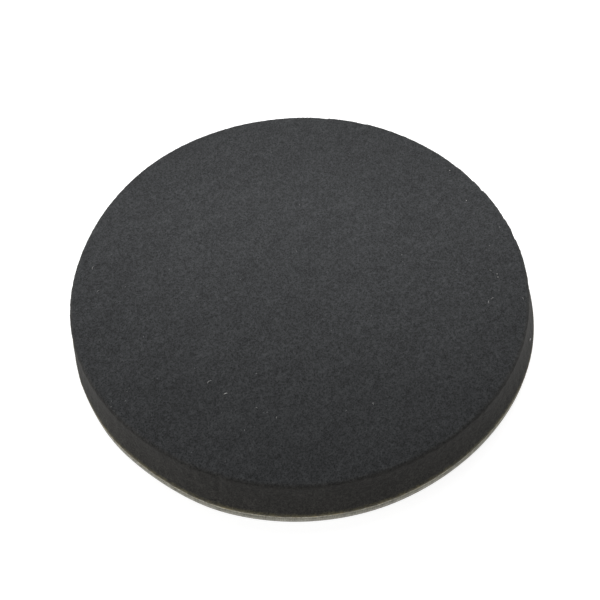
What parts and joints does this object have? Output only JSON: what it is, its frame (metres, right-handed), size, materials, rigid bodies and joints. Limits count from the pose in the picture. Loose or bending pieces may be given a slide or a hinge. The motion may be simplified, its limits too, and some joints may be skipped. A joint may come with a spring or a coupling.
{
  "type": "foam polishing pad",
  "caption": "Flat round charcoal foam polishing pad with a leaning die-cut wall, an adhesive film and a grey hook-and-loop backing.",
  "frame": {"origin": "centre of the loop face, the flat underside that the pad lies on and is held by", "axes": "+Z from the loop face towards the working face, along the pad's axis; X and Y lie in the loop face, and neither has a landmark because the pad is round"},
  "size_m": [0.15, 0.15, 0.0159],
  "materials": {
    "foam": "matte",
    "adhesive": "satin",
    "knit": "matte",
    "loops": "matte"
  },
  "bodies": {
    "root": {"foam_disc": "foam", "adhesive_film": "adhesive", "backing_cloth": "knit", "loop_pile": "loops"}
  },
  "joints": []
}
